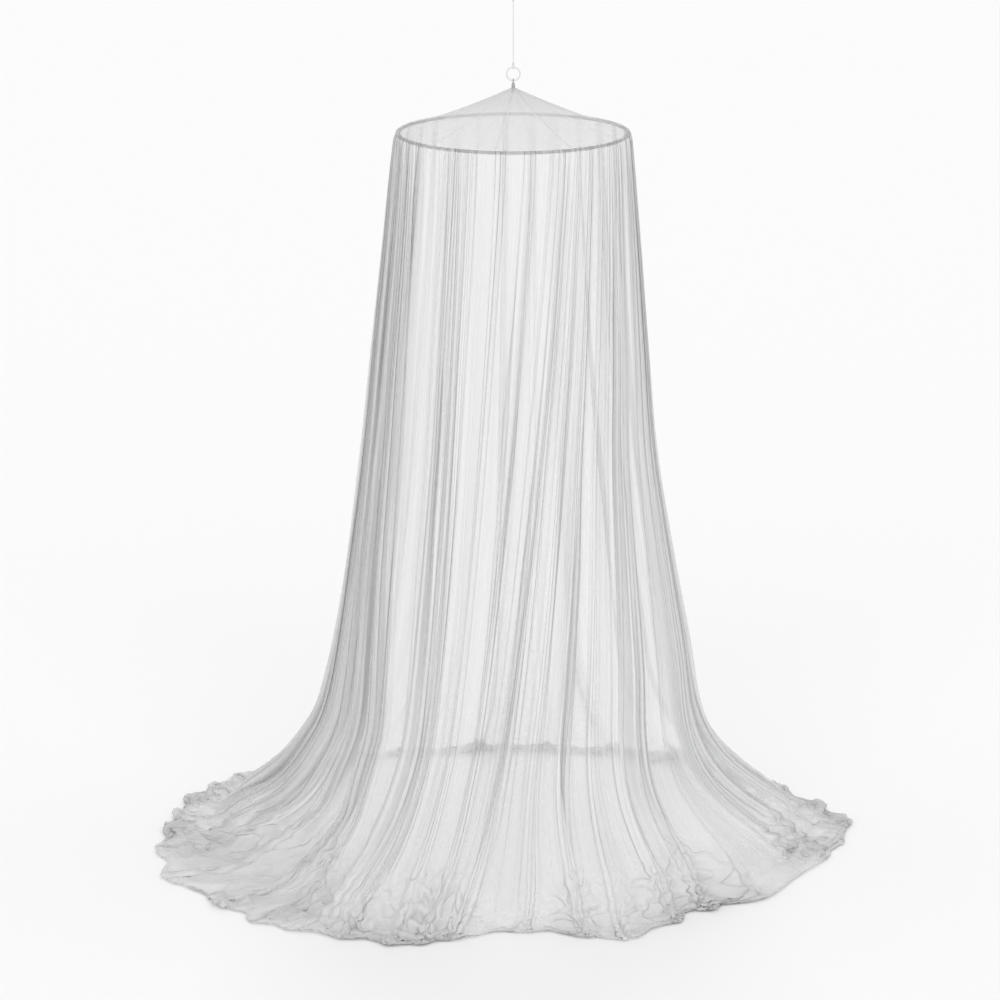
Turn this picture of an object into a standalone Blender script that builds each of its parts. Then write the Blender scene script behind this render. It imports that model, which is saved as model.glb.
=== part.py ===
# Mosquito net canopy: a round net that hangs from a cord over a slim hoop and pools on the floor.
# Metres, +Z up. The origin is the point inside the top loop where a ceiling hook carries it.
# Azimuths are in degrees from the front (-Y), positive towards the right (+X).
import math

import bmesh
import bpy

COLLECTION_NAME = "mosquito_net_canopy"

# Heights
FLOOR_Z = -2.25
HOOP_Z = FLOOR_Z + 1.885
RING_Z = FLOOR_Z + 2.036
APEX_Z = FLOOR_Z + 2.000

# Hoop, ring and cord
HOOP_RADIUS = 0.2915
HOOP_WIRE = 0.0084
RING_RADIUS = 0.0168
RING_WIRE = 0.0044
CORD = 0.0025
TOP_LOOP_LENGTH = 0.024
TOP_LOOP_WIDTH = 0.013
LOOP_FOOT_SHARE = 0.75
KNOT_RADIUS = 0.0032
KNOT_LENGTH = 0.0085
CROWN_LOOP = 0.003
CORD_STEP = 2.5 * CORD
GAP = 0.0003
WELD = 0.00001
FACING_FRONT = (math.pi / 2, 0.0, 0.0)
FACING_SIDE = (0.0, math.pi / 2, 0.0)

# Net
NET_THICKNESS = 0.0015
SLEEVE_RADIUS = 0.0063
SLEEVE_ANGLES = (215, 150, 90, 30)
FOLD_COLUMNS = 4
FLANK_OFFSET = 0.12
ROOF_RIBS = (-150, -115, -80, -44, -9, 30, 66, 103, 139, 174)
ROOF_COLUMNS = 6
ROOF_STEPS = (0.0, 0.06, 0.16, 0.32, 0.52, 0.76, 1.0)
ROOF_CURVE = 1.3
ROOF_SAG = 0.007
RIB_RIDGE = 0.0012
CROWN_WAIST = 0.0046

# Rows of the wall, from the hoop down to the hem. Each height is above the floor. The shares say
# how much of a fold's own depth, drift, reach and lift the row takes, and how crumpled it lies.
WALL_ROWS = (
    # height, radius, depth share, drift share, reach share, lift share, crumple share
    (1.868, 0.2985, 0.10, 0.00, 0.00, 0.00, 0.0),
    (1.800, 0.3020, 0.22, 0.03, 0.00, 0.00, 0.0),
    (1.600, 0.3170, 0.36, 0.14, 0.00, 0.00, 0.0),
    (1.350, 0.3400, 0.50, 0.28, 0.00, 0.00, 0.0),
    (1.080, 0.3640, 0.64, 0.43, 0.00, 0.00, 0.0),
    (0.820, 0.3960, 0.78, 0.57, 0.00, 0.00, 0.1),
    (0.580, 0.4320, 0.92, 0.70, 0.00, 0.00, 0.2),
    (0.400, 0.4700, 1.00, 0.80, 0.05, 0.00, 0.3),
    (0.270, 0.5350, 1.00, 0.88, 0.15, 0.00, 0.4),
    (0.160, 0.6250, 0.80, 0.94, 0.30, 0.10, 0.6),
    (0.088, 0.7150, 0.55, 0.98, 0.50, 0.35, 0.8),
    (0.042, 0.7950, 0.30, 1.00, 0.75, 0.75, 1.0),
    (0.030, 0.8450, 0.20, 1.00, 0.95, 1.00, 1.0),
    (0.012, 0.8800, 0.15, 1.00, 1.00, 0.35, 0.5),
    (0.001, 0.8620, 0.10, 1.00, 0.95, 0.00, 0.0),
)
# Small waves that crumple the net as it nears the floor: how many go round, and where each starts.
CRUMPLE_WAVES = (
    # waves round the net, start in degrees, turn from row to row in degrees
    (19, 40, 35),
    (31, 150, -50),
    (43, 260, 75),
)
CRUMPLE_HEIGHT = 0.008
CRUMPLE_SPREAD = 0.006
MEAN_REACH = 0.880

# Folds, round the net from the back by way of the left side. A fold's crest leaves the hoop at one
# azimuth and meets the floor at another; reach is how far it spreads there, lift how high it heaps.
FOLDS = (
    # at hoop, at floor, depth, reach, lift
    (-176, -174, 0.022, 0.905, 0.060),
    (-163, -160, 0.016, 0.850, 0.028),
    (-151, -149, 0.020, 0.935, 0.030),
    (-139, -137, 0.022, 0.950, 0.038),
    (-128, -126, 0.024, 0.940, 0.045),
    (-118, -115, 0.026, 0.960, 0.050),
    (-108, -104, 0.028, 0.930, 0.060),
    (-98, -94, 0.030, 0.905, 0.065),
    (-89, -86, 0.030, 0.890, 0.045),
    (-81, -78, 0.032, 0.965, 0.025),
    (-72, -67, 0.030, 0.915, 0.045),
    (-63, -58, 0.028, 0.930, 0.038),
    (-53, -49, 0.026, 0.945, 0.055),
    (-43, -40, 0.020, 0.870, 0.030),
    (-31, -34, 0.018, 0.855, 0.030),
    (-18, -28, 0.020, 0.860, 0.055),
    (-4, -22, 0.007, 0.855, 0.060),
    (11, -16, 0.009, 0.830, 0.058),
    (25, -8, 0.024, 0.765, 0.035),
    (33, 4, 0.018, 0.705, 0.018),
    (40, 13, 0.014, 0.730, 0.030),
    (47, 23, 0.014, 0.845, 0.034),
    (55, 33, 0.024, 0.745, 0.062),
    (63, 44, 0.020, 0.800, 0.058),
    (71, 55, 0.020, 0.800, 0.034),
    (79, 68, 0.018, 0.740, 0.026),
    (88, 83, 0.020, 0.805, 0.030),
    (98, 99, 0.020, 0.915, 0.034),
    (109, 111, 0.020, 0.870, 0.036),
    (121, 123, 0.020, 0.890, 0.036),
    (133, 136, 0.020, 0.930, 0.034),
    (146, 150, 0.018, 0.895, 0.028),
    (159, 163, 0.018, 0.865, 0.026),
    (171, 175, 0.016, 0.855, 0.030),
)
NOTCH = 0.030

# Turned profiles, from the top down
CROWN_PROFILE = (
    # height below the ring's lower wire, radius
    (0.0042, 0.0000),
    (0.0046, 0.0017),
    (0.0085, 0.0036),
    (0.0140, CROWN_WAIST),
    (0.0220, CROWN_WAIST),
    (0.0265, 0.0056),
    (0.0300, 0.0042),
    (0.0320, 0.0000),
)
KNOT_PROFILE = (
    # share of the knot's length from its top, share of its radius
    (0.00, 0.00),
    (0.00, 0.55),
    (0.18, 0.95),
    (0.38, 1.00),
    (0.50, 0.86),
    (0.62, 1.00),
    (0.82, 0.95),
    (1.00, 0.55),
    (1.00, 0.00),
)


def clear_scene():
    for item in list(bpy.data.objects):
        bpy.data.objects.remove(item, do_unlink=True)


def new_collection(name):
    collection = bpy.data.collections.new(name)
    bpy.context.scene.collection.children.link(collection)
    return collection


def plain_material(name, colour, roughness, metallic=0.0):
    material = bpy.data.materials.new(name)
    material.use_nodes = True
    shader = material.node_tree.nodes["Principled BSDF"]
    shader.inputs["Base Color"].default_value = (*colour, 1.0)
    shader.inputs["Roughness"].default_value = roughness
    shader.inputs["Metallic"].default_value = metallic
    return material


def add_object(name, data, collection, material):
    item = bpy.data.objects.new(name, data)
    data.materials.append(material)
    collection.objects.link(item)
    return item


def mix(low, high, share):
    return low + (high - low) * share


def polar(azimuth, radius, height):
    angle = math.radians(azimuth)
    return (radius * math.sin(angle), -radius * math.cos(angle), height)


def ring_mesh(name, rows):
    """A smooth open tube: each row is a closed ring of points, joined to the next row by quads."""
    mesh_edit = bmesh.new()
    rings = [[mesh_edit.verts.new(point) for point in row] for row in rows]
    for upper, lower in zip(rings, rings[1:]):
        for i in range(len(upper)):
            j = (i + 1) % len(upper)
            mesh_edit.faces.new((upper[i], lower[i], lower[j], upper[j]))
    mesh = bpy.data.meshes.new(name)
    mesh_edit.to_mesh(mesh)
    mesh_edit.free()
    mesh.shade_smooth()
    return mesh


def thicken(item, thickness):
    solidify = item.modifiers.new("sheet", "SOLIDIFY")
    solidify.thickness = thickness
    solidify.offset = 0.0
    solidify.use_rim = True
    return item


def wire_ring(name, radius, wire, collection, material, around=20, sides=8):
    """A round wire ring in the XY plane."""
    bpy.ops.mesh.primitive_torus_add(
        major_segments=around,
        minor_segments=sides,
        major_radius=radius,
        minor_radius=wire / 2,
    )
    made = bpy.context.object
    mesh = made.data
    mesh.name = name
    bpy.data.objects.remove(made, do_unlink=True)
    mesh.shade_smooth()
    return add_object(name, mesh, collection, material)


def turned(name, profile, collection, material, steps=12):
    """A round solid on the Z axis from (radius, height) points, top to bottom."""
    mesh = bpy.data.meshes.new(name)
    points = [(radius, 0.0, height) for radius, height in profile]
    mesh.from_pydata(points, [(i, i + 1) for i in range(len(points) - 1)], [])
    item = add_object(name, mesh, collection, material)
    screw = item.modifiers.new("turn", "SCREW")
    screw.steps = steps
    screw.render_steps = steps
    screw.use_merge_vertices = True
    screw.merge_threshold = WELD
    screw.use_smooth_shade = True
    return item


def cord_tube(name, points, closed, collection, material):
    """A round cord along points."""
    curve = bpy.data.curves.new(name, "CURVE")
    curve.dimensions = "3D"
    curve.bevel_depth = CORD / 2
    curve.bevel_resolution = 2
    curve.use_fill_caps = True
    spline = curve.splines.new("POLY")
    spline.points.add(len(points) - 1)
    for place, point in zip(spline.points, points):
        place.co = (*point, 1.0)
    spline.use_cyclic_u = closed
    return add_object(name, curve, collection, material)


def as_mesh(item):
    """The same piece as a welded mesh object, in place of the curve or the modifiers."""
    evaluated = item.evaluated_get(bpy.context.evaluated_depsgraph_get())
    mesh = bpy.data.meshes.new_from_object(evaluated)
    mesh_edit = bmesh.new()
    mesh_edit.from_mesh(mesh)
    bmesh.ops.remove_doubles(mesh_edit, verts=mesh_edit.verts, dist=WELD)
    mesh_edit.to_mesh(mesh)
    mesh_edit.free()
    solid = bpy.data.objects.new(item.name, mesh)
    solid.matrix_world = item.matrix_world
    item.users_collection[0].objects.link(solid)
    name = item.name
    bpy.data.objects.remove(item, do_unlink=True)
    solid.name = name
    return solid


def joined(item, other):
    """item with other united to it; other stays as a hidden cutter."""
    union = item.modifiers.new("with " + other.name, "BOOLEAN")
    union.operation = "UNION"
    union.solver = "EXACT"
    union.object = other
    other.hide_render = True
    other.display_type = "WIRE"
    return item


def cord_loop(length, width, steps=20):
    """A closed drop-shaped loop in the XZ plane: round at the top, narrow at its foot."""
    points = []
    for i in range(steps):
        angle = 2 * math.pi * i / steps
        along = (1 + math.cos(angle)) / 2
        half_width = width / 2 * math.sin(angle) * mix(LOOP_FOOT_SHARE, 1.0, along)
        points.append((half_width, 0.0, mix(-length, 0.0, along)))
    return points


def knot(name, top, collection, material):
    profile = [(KNOT_RADIUS * r, top - KNOT_LENGTH * z) for z, r in KNOT_PROFILE]
    return as_mesh(turned(name, profile, collection, material))


def build_hang_loop(collection, cutters, material):
    """The loop at the top of the cord, with its knot. The hook bears on the loop at the origin."""
    centre = [(x, y, z + CORD / 2) for x, y, z in cord_loop(TOP_LOOP_LENGTH, TOP_LOOP_WIDTH)]
    loop = as_mesh(cord_tube("hang_loop", centre, True, collection, material))
    knot_top = CORD / 2 - TOP_LOOP_LENGTH + CORD / 2
    joined(loop, knot("hang_loop_knot", knot_top, cutters, material))
    return knot_top - KNOT_LENGTH


def build_ring_hitch(collection, cutters, material):
    """The cord's lower end: a small loop round the ring's wire, with a knot on top of it."""
    radius = RING_WIRE / 2 + GAP * 2 + CORD / 2
    loop = wire_ring("ring_hitch", radius, CORD, collection, material)
    loop.rotation_euler = FACING_SIDE
    loop.location = (0.0, 0.0, RING_Z + RING_RADIUS)
    knot_top = RING_Z + RING_RADIUS + radius + KNOT_LENGTH - CORD / 4
    joined(loop, knot("ring_hitch_knot", knot_top, cutters, material))
    return knot_top


def build_hang_line(top, foot, collection, material):
    steps = round((top - foot) / CORD_STEP)
    points = [(0.0, 0.0, mix(top - GAP, foot + GAP, i / steps)) for i in range(steps + 1)]
    cord_tube("hang_line", points, False, collection, material)


def build_ring(collection, material):
    ring = wire_ring("hang_ring", RING_RADIUS, RING_WIRE, collection, material, around=32)
    ring.rotation_euler = FACING_FRONT
    ring.location = (0.0, 0.0, RING_Z)


def build_crown(collection, cutters, material):
    """The gathered tip of the roof: a loop of net round the ring and a tuft below it."""
    lower_wire = RING_Z - RING_RADIUS
    profile = [(radius, lower_wire - drop) for drop, radius in CROWN_PROFILE]
    tuft = as_mesh(turned("crown_gather", profile, collection, material))
    radius = RING_WIRE / 2 + GAP * 2 + CORD / 2
    loop = wire_ring("crown_loop", radius, CROWN_LOOP, cutters, material)
    loop.rotation_euler = FACING_SIDE
    loop.location = (0.0, 0.0, lower_wire)
    joined(tuft, loop)


def build_hoop(collection, material):
    hoop = wire_ring("hoop", HOOP_RADIUS, HOOP_WIRE, collection, material, around=72)
    hoop.location = (0.0, 0.0, HOOP_Z)


def roof_rows():
    """Rings of the roof from the crown out to the hoop: ribs stay taut, the net between sags."""
    neck = CROWN_WAIST + GAP + NET_THICKNESS / 2
    foot_z = HOOP_Z + SLEEVE_RADIUS + NET_THICKNESS + GAP * 2
    gores = list(zip(ROOF_RIBS, ROOF_RIBS[1:] + (ROOF_RIBS[0] + 360,)))
    rows = []
    for step in ROOF_STEPS:
        radius = mix(neck, HOOP_RADIUS, step)
        height = mix(foot_z, APEX_Z, (1 - step) ** ROOF_CURVE)
        row = []
        for rib, next_rib in gores:
            for k in range(ROOF_COLUMNS):
                across = k / ROOF_COLUMNS
                sag = ROOF_SAG * math.sin(math.pi * across) * math.sin(math.pi * step)
                ridge = RIB_RIDGE * math.sin(math.pi * step) if k == 0 else 0.0
                row.append(polar(mix(rib, next_rib, across), radius, height - sag + ridge))
        rows.append(row)
    return rows


def crumple(azimuth, row_number):
    """A wave from -1 to 1 that differs from row to row."""
    waves = (
        math.sin(math.radians(count * azimuth + start + turn * row_number))
        for count, start, turn in CRUMPLE_WAVES
    )
    return sum(waves) / len(CRUMPLE_WAVES)


def fold_columns():
    """Columns of the wall: four for each fold, on its crest, down its flank, in the valley and up
    the next flank. Each says how far it stands proud and what it takes from its two folds."""
    columns = []
    for i, fold in enumerate(FOLDS):
        following = FOLDS[(i + 1) % len(FOLDS)]
        turn = 360 if i == len(FOLDS) - 1 else 0
        for k in range(FOLD_COLUMNS):
            across = k / FOLD_COLUMNS
            valley = math.sin(math.pi * across) ** 2
            proud = (1.0, FLANK_OFFSET, -1.0, -FLANK_OFFSET)[k]
            at_hoop = mix(fold[0], following[0] + turn, across)
            at_floor = mix(fold[1], following[1] + turn, across)
            depth = mix(fold[2], following[2], across)
            reach = mix(fold[3], following[3], across) - NOTCH * valley
            lift = mix(fold[4], following[4], across) * (1 - valley)
            columns.append((at_hoop, at_floor, proud * depth, reach, lift))
    return columns


def wall_rows():
    """Rings of the net's wall: turned over the hoop as a sleeve, then down to the hem."""
    columns = fold_columns()
    rows = []
    for degrees in SLEEVE_ANGLES:
        angle = math.radians(degrees)
        radius = HOOP_RADIUS + SLEEVE_RADIUS * math.cos(angle)
        height = HOOP_Z + SLEEVE_RADIUS * math.sin(angle)
        rows.append([polar(column[0], radius, height) for column in columns])
    for number, shares in enumerate(WALL_ROWS):
        height, radius, depth_share, drift, reach_share, lift_share, crumple_share = shares
        row = []
        for at_hoop, at_floor, depth, reach, lift in columns:
            azimuth = mix(at_hoop, at_floor, drift)
            wave = crumple(at_floor, number) * crumple_share
            spread = radius + depth * depth_share + (reach - MEAN_REACH) * reach_share
            rise = height + lift * lift_share + CRUMPLE_HEIGHT * wave
            row.append(polar(azimuth, spread + CRUMPLE_SPREAD * wave, FLOOR_Z + rise))
        rows.append(row)
    return rows


clear_scene()
parts = new_collection(COLLECTION_NAME)
cutters = new_collection("cutters")

net_white = plain_material("net", (0.72, 0.73, 0.74), 0.85)
cord_white = plain_material("cord", (0.85, 0.85, 0.86), 0.7)
ring_white = plain_material("ring", (0.88, 0.88, 0.89), 0.35)
hoop_grey = plain_material("hoop", (0.42, 0.43, 0.44), 0.45)

line_top = build_hang_loop(parts, cutters, cord_white)
line_foot = build_ring_hitch(parts, cutters, cord_white)
build_hang_line(line_top, line_foot, parts, cord_white)
build_ring(parts, ring_white)
build_crown(parts, cutters, net_white)
build_hoop(parts, hoop_grey)
thicken(add_object("roof_net", ring_mesh("roof_net", roof_rows()), parts, net_white), NET_THICKNESS)
thicken(add_object("wall_net", ring_mesh("wall_net", wall_rows()), parts, net_white), NET_THICKNESS)
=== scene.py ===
# Looks of a round mosquito net canopy: a sheer net over a slim hoop that hangs by a cord, with its
# hem in folds on the floor.
# Metres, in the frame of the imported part: +Z up, front -Y, origin inside the cord's top loop.
# Azimuths are in degrees from the front, positive towards the right (+X).
import math

import bmesh
import bpy
import numpy as np
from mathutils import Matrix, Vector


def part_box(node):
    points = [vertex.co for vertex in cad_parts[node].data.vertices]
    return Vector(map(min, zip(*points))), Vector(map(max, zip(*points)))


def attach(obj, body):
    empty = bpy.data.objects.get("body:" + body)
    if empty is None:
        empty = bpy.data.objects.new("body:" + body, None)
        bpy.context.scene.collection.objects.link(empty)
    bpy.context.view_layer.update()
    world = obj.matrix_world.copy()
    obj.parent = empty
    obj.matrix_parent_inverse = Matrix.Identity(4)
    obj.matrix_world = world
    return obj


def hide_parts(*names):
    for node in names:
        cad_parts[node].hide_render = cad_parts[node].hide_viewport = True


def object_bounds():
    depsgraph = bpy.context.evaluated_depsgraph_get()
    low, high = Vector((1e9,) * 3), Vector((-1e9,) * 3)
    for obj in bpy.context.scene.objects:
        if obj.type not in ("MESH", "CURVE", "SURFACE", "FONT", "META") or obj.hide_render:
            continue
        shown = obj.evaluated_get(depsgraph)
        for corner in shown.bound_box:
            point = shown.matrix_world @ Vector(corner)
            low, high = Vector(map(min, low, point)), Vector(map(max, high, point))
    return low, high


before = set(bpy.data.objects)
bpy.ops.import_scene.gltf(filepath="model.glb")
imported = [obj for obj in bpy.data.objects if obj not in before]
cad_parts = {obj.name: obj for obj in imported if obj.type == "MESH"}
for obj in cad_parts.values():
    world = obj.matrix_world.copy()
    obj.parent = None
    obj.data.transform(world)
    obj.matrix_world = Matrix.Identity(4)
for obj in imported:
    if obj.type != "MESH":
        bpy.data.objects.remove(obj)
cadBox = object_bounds()

floorZ = cadBox[0].z
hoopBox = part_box("hoop")
hoopZ = (hoopBox[0].z + hoopBox[1].z) / 2
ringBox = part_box("hang_ring")
ringZ = (ringBox[0].z + ringBox[1].z) / 2

# camera: a long lens well in front of the net and a little above the hoop
view = dict(
    imageSide=1000,
    focalPixels=5411.0,
    sensor=36.0,
    place=(-0.0334, -13.5, floorZ + 4.2164),
    tiltDown=13.680,
    farthest=200.0,
)


def addCamera():
    data = bpy.data.cameras.new("camera")
    data.sensor_width = view["sensor"]
    data.lens = view["sensor"] * view["focalPixels"] / view["imageSide"]
    data.clip_end = view["farthest"]
    camera = bpy.data.objects.new("camera", data)
    camera.location = view["place"]
    camera.rotation_euler = (math.pi / 2 - math.radians(view["tiltDown"]), 0, 0)
    bpy.context.scene.collection.objects.link(camera)
    bpy.context.scene.camera = camera
    print("camera placed")


def mix(low, high, share):
    return low + (high - low) * share


def smoothStep(low, high, value):
    share = np.clip((value - low) / (high - low), 0, 1)
    return share * share * (3 - 2 * share)


def smoothTable(at, places, values):
    # a smooth curve through a short table that never overshoots it
    places = np.asarray(places, float)
    values = np.asarray(values, float)
    step = np.diff(places)
    slope = np.diff(values) / step
    left, right = slope[:-1], slope[1:]
    both = left + right
    inner = np.where(left * right > 0, 2 * left * right / np.where(both == 0, 1, both), 0)
    tangent = np.concatenate([[slope[0]], inner, [slope[-1]]])
    at = np.clip(at, places[0], places[-1])
    i = np.clip(np.searchsorted(places, at, side="right") - 1, 0, len(step) - 1)
    t = (at - places[i]) / step[i]
    h00 = (1 + 2 * t) * (1 - t) ** 2
    h10 = t * (1 - t) ** 2
    h01 = t * t * (3 - 2 * t)
    h11 = t * t * (t - 1)
    return (
        h00 * values[i]
        + h10 * step[i] * tangent[i]
        + h01 * values[i + 1]
        + h11 * step[i] * tangent[i + 1]
    )


def roundTable(at, values, turn=0.0):
    # the same for a table that closes on itself, one step for each value; turn is what a full
    # round adds
    values = np.asarray(values, float)
    count = len(values)
    i = np.floor(at).astype(int)
    t = at - i

    def value(k):
        return values[k % count] + turn * (k // count)

    before, here, there, after = value(i - 1), value(i), value(i + 1), value(i + 2)
    a = -before + 3 * here - 3 * there + after
    b = 2 * before - 5 * here + 4 * there - after
    return here + 0.5 * t * ((there - before) + t * (b + t * a))


noises = dict(
    # seed, waves, fewest and most humps round the net, stretch along it, strength
    pleatSwing=(3, 7, 5, 31, 1.0, 0.30),
    pleatPhase=(5, 6, 3, 23, 0.8, 1.1),
    pleatLean=(7, 6, 3, 40, 0.3, 0.55),
    heapSwing=(11, 8, 4, 29, 3.0, 0.35),
    heapPhase=(13, 9, 3, 23, 2.0, 2.2),
    heapSize=(17, 6, 3, 17, 2.0, 0.3),
)


def softNoise(name, around, along):
    # a smooth field round zero: around in turns of the net, along in metres of net
    seed, waves, fewest, most, stretch, strength = noises[name]
    random = np.random.RandomState(seed)
    along = along * stretch
    total = np.zeros(np.broadcast(around, along).shape)
    power = 0.0
    for _ in range(waves):
        humps = random.randint(fewest, most + 1)
        rate = random.uniform(-4, 4)
        weight = random.uniform(0.5, 1.0)
        start = random.uniform(0, 2 * math.pi)
        total = total + weight * np.sin(2 * math.pi * humps * around + rate * along + start)
        power += weight * weight
    return strength * (total / math.sqrt(power))


def bessel(order, x, terms=9):
    # the first terms of its series
    total = 0
    for k in range(terms):
        share = (-1) ** k / (math.factorial(k) * math.factorial(k + order))
        total = total + share * (x / 2) ** (2 * k + order)
    return total


def meander(phase, swing):
    # the line of a folded sheet: its direction swings by swing radians to each side.
    # Returns the shift along and across the fold line, in shares of one fold's width.
    width = 2 * math.pi * bessel(0, swing)
    along = (bessel(2, swing) * np.sin(2 * phase) + bessel(4, swing) * np.sin(4 * phase) / 2) / width
    first = 2 * bessel(1, swing) * np.cos(phase)
    third = 2 / 3 * bessel(3, swing) * np.cos(3 * phase)
    return along, -(first + third) / width


def unit(vectors):
    return vectors / np.maximum(np.linalg.norm(vectors, axis=-1, keepdims=True), 1e-9)


def gridNormals(points):
    # points is rows by columns by 3, and its columns go all the way round
    around = np.roll(points, -1, 1) - np.roll(points, 1, 1)
    return unit(np.cross(around, np.gradient(points, axis=0)))


def gridMesh(name, points, flatPlace=None, values=None):
    # a round sheet of quads; flatPlace is the place in the flat cloth, values are named numbers at
    # each point
    rows, columns = points.shape[:2]
    left = np.arange(rows * columns).reshape(rows, columns)
    right = np.roll(left, -1, 1)
    faces = np.stack([left[:-1], left[1:], right[1:], right[:-1]], -1).reshape(-1, 4)
    mesh = bpy.data.meshes.new(name)
    mesh.from_pydata(points.reshape(-1, 3).tolist(), [], faces.tolist())
    mesh.shade_smooth()
    if flatPlace is not None:
        # the last column runs on past the seam instead of back across the cloth
        across, along = flatPlace
        end = across + (across[0, 1] - across[0, 0])
        corners = [
            np.stack([across[:-1], along[:-1]], -1),
            np.stack([across[1:], along[1:]], -1),
            np.stack([end[1:], along[1:]], -1),
            np.stack([end[:-1], along[:-1]], -1),
        ]
        layer = mesh.uv_layers.new(name="cloth")
        layer.data.foreach_set("uv", np.stack(corners, 2).reshape(-1).astype(np.float32))
    for key, value in (values or {}).items():
        attribute = mesh.attributes.new(key, "FLOAT", "POINT")
        attribute.data.foreach_set("value", value.reshape(-1).astype(np.float32))
    return mesh


def addPiece(name, data, material):
    piece = bpy.data.objects.new(name, data)
    data.materials.append(material)
    bpy.context.scene.collection.objects.link(piece)
    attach(piece, "root")
    return piece


class Socket:
    # one output of a node; sums and products of these make the Math nodes
    def __init__(self, tree, source):
        self.tree = tree
        self.source = source

    def node(self, kind, settings=None, inputs=None, output=0):
        made = self.tree.nodes.new(kind)
        for key, value in (settings or {}).items():
            setattr(made, key, value)
        for key, value in (inputs or {}).items():
            if isinstance(value, Socket):
                self.tree.links.new(value.source, made.inputs[key])
            else:
                made.inputs[key].default_value = value
        return Socket(self.tree, made.outputs[output])

    def beside(self, output):
        # another output of the same node
        return Socket(self.tree, self.source.node.outputs[output])

    def maths(self, operation, first, second):
        return self.node("ShaderNodeMath", {"operation": operation}, {0: first, 1: second})

    def __add__(self, other):
        return self.maths("ADD", self, other)

    __radd__ = __add__

    def __mul__(self, other):
        return self.maths("MULTIPLY", self, other)

    __rmul__ = __mul__

    def __sub__(self, other):
        return self.maths("SUBTRACT", self, other)

    def __rsub__(self, other):
        return self.maths("SUBTRACT", other, self)

    def __pow__(self, other):
        return self.maths("POWER", self, other)

    def __rpow__(self, other):
        return self.maths("POWER", other, self)

    def clamped(self, low=0.0, high=1.0):
        return self.maths("MINIMUM", self.maths("MAXIMUM", self, low), high)


def newMaterial(name, colour, roughness):
    material = bpy.data.materials.new(name)
    material.use_nodes = True
    shader = material.node_tree.nodes["Principled BSDF"]
    shader.inputs["Base Color"].default_value = (*colour, 1)
    shader.inputs["Roughness"].default_value = roughness
    return material, shader, Socket(material.node_tree, None)


def link(socket, shader, name):
    socket.tree.links.new(socket.source, shader.inputs[name])


def mixedTone(share, first, second):
    inputs = {"Factor": share, 6: (*first, 1), 7: (*second, 1)}
    return share.node("ShaderNodeMix", {"data_type": "RGBA"}, inputs, output=2)


finishes = dict(
    # name, dark tone, light tone, scale and detail of the mottling, roughness, and how much the
    # mottling adds to it
    cord=("whiteCord", (0.58, 0.58, 0.58), (0.72, 0.72, 0.72), 2500.0, 2.0, 0.75, 0.0),
    ring=("whitePlastic", (0.66, 0.66, 0.66), (0.74, 0.74, 0.74), 300.0, 2.0, 0.30, 0.15),
    hoop=("greyEnamel", (0.24, 0.24, 0.245), (0.32, 0.32, 0.325), 60.0, 3.0, 0.40, 0.15),
    # painted shade: the gathered white net at the crown is coloured dark grey
    crown=("shadedGatheredNet", (0.30, 0.30, 0.305), (0.46, 0.46, 0.465), 900.0, 2.0, 0.85, 0.0),
)


def makeMottled(kind):
    name, dark, light, scale, detail, roughness, added = finishes[kind]
    middle = [(low + high) / 2 for low, high in zip(dark, light)]
    material, shader, start = newMaterial(name, middle, roughness)
    place = start.node("ShaderNodeTexCoord", output="Object")
    mottle = start.node("ShaderNodeTexNoise", None, {"Vector": place, "Scale": scale, "Detail": detail})
    link(mixedTone(mottle, dark, light), shader, "Base Color")
    if added:
        link(roughness + mottle * added, shader, "Roughness")
    return material


netFinish = dict(
    colour=(0.775, 0.775, 0.78),
    # painted shade: the roof's net is the same net with a darker base colour
    shadedRoofColour=(0.67, 0.67, 0.675),
    paintedShadeColour=(0.65, 0.65, 0.655),  # painted shade: a darker base colour where many layers lie together
    paintedShadeFrom=2.5,  # how many layers the painted shade begins with, and what share each more of them adds
    paintedShadeRate=0.12,
    lyingPaintedShade=0.65,  # the share of painted shade that bunched net on the floor adds
    roughness=0.9,
    cover=0.26,  # share of light that one layer of the mesh stops
    leastCover=0.05,
    mostCover=0.72,
    crinklePitch=0.055,
    crinkleLength=8.0,
    crinkleDetail=1.0,
    crinkleDepth=1.8,
    creaseWidth=0.04,
    creaseDepth=1.0,
    plainCrinkle=0.12,  # share of the crinkles that the flat stretches keep
    crumplePitch=0.085,  # the same for the net that lies on the floor, where they run every way
    crumpleDetail=0.5,
    crumpleSwirl=0.6,
    crumpleDepth=1.9,
    crumpleCrease=0.8,
    poolCrinkle=0.8,
    bumpHeight=0.004,
)


def creased(noise, depth, creaseDepth):
    # a noise round zero with a sharp crease along the lines where it is zero
    middle = noise - 0.5
    crease = math.exp(-1) ** ((middle * (1 / netFinish["creaseWidth"])) ** 2.0)
    return middle * depth + crease * creaseDepth


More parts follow.
